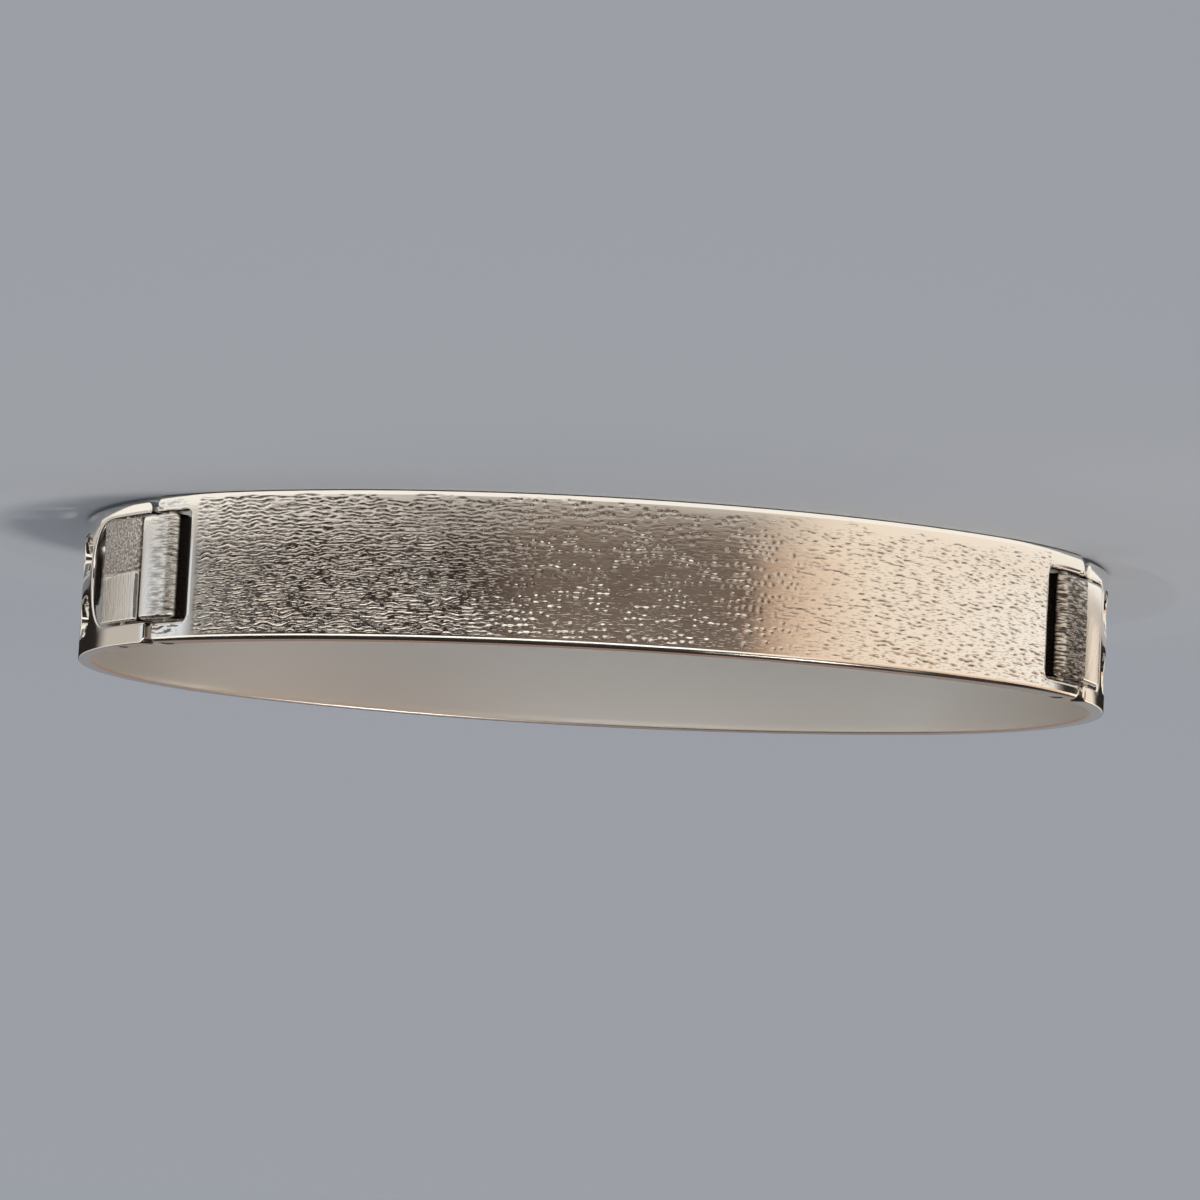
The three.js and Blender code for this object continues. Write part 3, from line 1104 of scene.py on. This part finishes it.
# %% Places and colours of the card
card_radius = 54 * mm
outer_radius = 105 * mm
card_centre_y = flat_arc_radius - ring_half_depth
near_radius = 38.86 * mm
strip_radius = 40.2 * mm
middle_radius = 45 * mm
dark_height = 9.3 * mm
bright_height = 17 * mm
lid_height = 42 * mm
# The strips lie just over the table.
strip_height = 0.012 * mm
# The walls are clear up to the first distance from the metal, and whole from the second.
clear_distance = 1 * mm
card_distance = 14 * mm

# From the lightest.
card_colours = {
    "white": "#fffaf2", "cool": "#dfe6ee", "cream": "#f6e6d4", "pearl": "#e4dcd3",
    "honey": "#e8cdb4", "stone": "#c2bab2", "tan": "#c3a48c", "clay": "#a2968a",
    "ash": "#918d89", "grey": "#77777a", "brown": "#957565", "dusk": "#706157",
    "slate": "#5d5a59", "umber": "#2b211d", "black": "#242120",
}
print("from the plate to the card, mm:", round((card_radius - flat_arc_radius) / mm, 1))

# %% The bands of card
# The colours that a band blends through, each from an angle round the ring. 0 is in front, and + is
# the clasp's side. The floor strip and the outer strip have the same ones.
floor_paint = [
    (-180, "grey"), (-90, "stone"), (-60, "cream"), (-24, "cream"), (-14, "clay"), (6, "clay"),
    (26, "pearl"), (36, "pearl"), (60, "stone"), (90, "grey"), (180, "grey"),
]

# Each band's profile as (radius, height), how bright it is, and its colours.
card_bands = {
    # Under the plate, for a white line along its low rim.
    "near_strip": (
        [(near_radius, strip_height), (strip_radius, strip_height)],
        1,
        [(-180, "grey"), (-70, "white"), (60, "white"), (80, "stone"), (180, "grey")],
    ),
    # In front of it, for the sides of the marks that face down.
    "middle_strip": (
        [(strip_radius, strip_height), (middle_radius, strip_height)],
        1,
        [
            (-180, "grey"), (-70, "white"), (-24, "cream"), (-10, "stone"), (18, "stone"),
            (40, "white"), (60, "white"), (80, "stone"), (180, "grey"),
        ],
    ),
    # For the low quarter of the plate.
    "floor_strip": ([(middle_radius, strip_height), (card_radius, strip_height)], 1, floor_paint),
    # Beyond the walls, for the plate when it is open.
    "outer_strip": ([(card_radius, strip_height), (outer_radius, strip_height)], 1, floor_paint),
    # For the rest of the plate, from cream on the link's side to dark on the clasp's. It is black
    # where the link's marked half and the band's turns look, and cool where the knuckle looks.
    "low_wall": (
        [(card_radius, strip_height), (card_radius, dark_height)],
        1,
        [
            (-180, "grey"), (-130, "black"), (-104, "black"), (-98, "cream"), (-88, "cream"),
            (-84, "black"), (-73, "black"), (-70, "white"), (-32, "cream"), (-24, "honey"),
            (-19, "tan"), (-16, "dusk"), (8, "dusk"), (18, "umber"), (38, "umber"), (50, "slate"),
            (55, "ash"), (58, "cool"), (66, "cool"), (72, "stone"), (90, "stone"), (98, "black"),
            (150, "black"), (180, "grey"),
        ],
    ),
    # For the sides of the marks that face up.
    "bright_wall": (
        [(card_radius, dark_height), (card_radius, bright_height)],
        1.55,
        [
            (-180, "slate"), (-130, "grey"), (-90, "cream"), (-70, "tan"), (-30, "tan"),
            (-8, "white"), (10, "white"), (50, "pearl"), (90, "stone"), (130, "grey"),
            (180, "slate"),
        ],
    ),
    # For the high rims: a black line, and a brown one beside it.
    "lid": (
        [(card_radius, bright_height), (card_radius, lid_height), (0, lid_height)],
        1,
        [
            (-180, "brown"), (-148, "brown"), (-130, "ash"), (-110, "ash"), (-80, "black"),
            (80, "black"), (110, "ash"), (130, "ash"), (148, "brown"), (180, "brown"),
        ],
    ),
}
walls = ("low_wall", "bright_wall", "lid")
print("bands:", list(card_bands))


# %% Paint the card
def painted_card(name, brightness, paint):
    """Card that shines by itself, in colours that follow the angle round the ring: painted reflections."""
    material = bpy.data.materials.new(name)
    material.use_nodes = True
    tree = material.node_tree
    tree.nodes.clear()
    on_piece = add_node(tree, "TexCoord", {}, {})
    parts = add_node(tree, "SeparateXYZ", {}, {"Vector": on_piece.outputs["Object"]})
    forward = add_node(tree, "Math", {"operation": "SUBTRACT"}, {0: card_centre_y, 1: parts.outputs["Y"]})
    angle = add_node(tree, "Math", {"operation": "ARCTAN2"}, {0: parts.outputs["X"], 1: forward})
    share = add_node(tree, "MapRange", {}, {"Value": angle, "From Min": -math.pi, "From Max": math.pi})
    ramp = add_node(tree, "ValToRGB", {}, {"Fac": share})
    stops = ramp.color_ramp.elements
    while len(stops) < len(paint):
        stops.new(1)
    for stop, (degrees, shade) in zip(stops, paint):
        stop.position = (degrees + 180) / 360
        stop.color = colour(card_colours[shade])
    glow = add_node(tree, "Emission", {}, {"Color": ramp, "Strength": brightness})
    clear = add_node(tree, "BsdfTransparent", {}, {})
    from_centre = add_node(tree, "CombineXYZ", {}, {"X": parts.outputs["X"], "Y": forward})
    radius = add_node(tree, "VectorMath", {"operation": "LENGTH"}, {0: from_centre})
    seen = {"Value": radius.outputs["Value"], "From Min": outer_radius, "From Max": card_radius}
    if name in walls:
        ray = add_node(tree, "LightPath", {}, {}).outputs["Ray Length"]
        seen = {"Value": ray, "From Min": clear_distance, "From Max": card_distance}
    share_seen = add_node(tree, "MapRange", smoothly, seen)
    card = add_node(tree, "MixShader", {}, {0: share_seen, 1: clear, 2: glow})
    add_node(tree, "OutputMaterial", {}, {"Surface": card})
    return material


# %% Stand the card round the bangle
card_steps = 120


def card_band(name, profile, brightness, paint):
    """A profile spun round the ring's middle."""
    band_work = bmesh.new()
    points = [band_work.verts.new((0, card_centre_y - radius, height)) for radius, height in profile]
    edges = [band_work.edges.new(pair) for pair in zip(points, points[1:])]
    bmesh.ops.spin(
        band_work,
        geom=[*points, *edges],
        cent=(0, card_centre_y, 0),
        axis=up_height,
        angle=2 * math.pi,
        steps=card_steps,
        use_merge=True,
    )
    bmesh.ops.remove_doubles(band_work, verts=band_work.verts, dist=hair)
    card = stage_object(name, band_work, painted_card(name, brightness, paint))
    card.visible_camera = card.visible_diffuse = card.visible_shadow = False
    print(name, "faces:", len(card.data.polygons))


for name, details in card_bands.items():
    card_band(name, *details)

# %% The camera
view_distance = 320 * mm
focal_length, sensor_width = 163.3, 36
view_turn = math.radians(2.84)
view_height = math.radians(6.46)
view_roll = math.radians(180 - 2.97)
view_target = Vector((1.03 * mm, -ring_half_depth, 6.17 * mm))

camera_data = bpy.data.cameras.new("camera")
camera_data.lens = focal_length
camera_data.sensor_width = sensor_width
camera = bpy.data.objects.new("camera", camera_data)
bpy.context.scene.collection.objects.link(camera)
back = Vector((math.sin(view_turn), -math.cos(view_turn), math.tan(view_height))).normalized()
camera.location = view_target + back * view_distance
camera.rotation_mode = "QUATERNION"
camera.rotation_quaternion = (-back).to_track_quat("-Z", "Y") @ Quaternion((0, 0, 1), -view_roll)
bpy.context.scene.camera = camera
bpy.context.scene.view_settings.view_transform = "Standard"
print("camera, mm:", [round(c / mm, 1) for c in camera.location])
